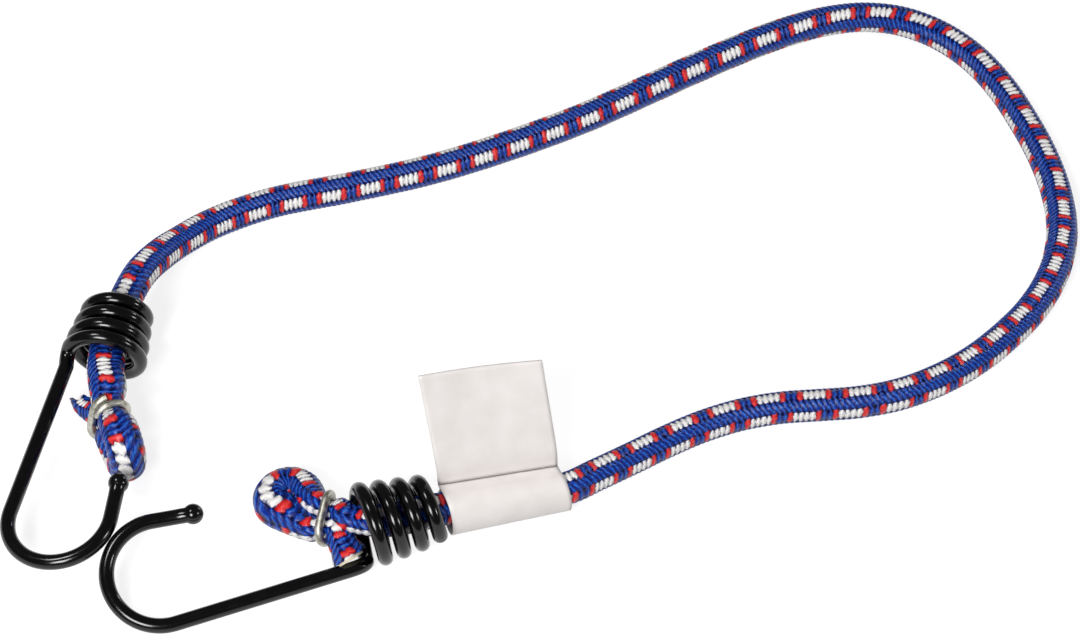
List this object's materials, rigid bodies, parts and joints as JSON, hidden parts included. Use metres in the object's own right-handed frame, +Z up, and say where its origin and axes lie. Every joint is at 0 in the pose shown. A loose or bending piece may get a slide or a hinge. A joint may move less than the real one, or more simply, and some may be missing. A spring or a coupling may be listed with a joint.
{
  "type": "bungee cord",
  "caption": "Elastic cord in a woven sheath, crimped back on itself at both ends, with a wound wire hook riding on each end and a blank film label, lying in an open curve.",
  "frame": {"origin": "On the ground under the middle of the box round the two hooks, the crimp rings and the label", "axes": "+Z up from the ground; +X along the longer side of that box, from the left hook towards the label and the cord's far bend"},
  "size_m": [0.2635, 0.2021, 0.0435],
  "materials": {
    "woven_sheath": "tight woven yarn, blue with red and white picks",
    "rubber_core": "matt natural rubber",
    "hook_coating": "glossy dipped vinyl",
    "hook_wire": "drawn steel wire, bare at the cut end",
    "crimp_ring": "bright zinc-plated wire",
    "label_film": "glossy white film, blank"
  },
  "bodies": {
    "cord": {"cord_sheath": "woven_sheath", "rubber_core": "rubber_core", "left_crimp_ring": "crimp_ring", "right_crimp_ring": "crimp_ring", "wrap_label": "label_film"},
    "left_hook": {"left_hook_coating": "hook_coating", "left_hook_wire": "hook_wire"},
    "right_hook": {"right_hook_coating": "hook_coating", "right_hook_wire": "hook_wire"}
  },
  "joints": [
    {"name": "left_hook_swivel", "type": "hinge", "parent": "cord", "child": "left_hook", "pos_m": [-0.0465, 0.0276, 0.01114], "axis": [-0.1919, -0.9779, -0.0837], "range_deg": [0, 34]},
    {"name": "right_hook_swivel", "type": "hinge", "parent": "cord", "child": "right_hook", "pos_m": [0.0173, -0.0232, 0.01124], "axis": [-0.9629, -0.2652, -0.0489], "range_deg": [0, 38]}
  ]
}
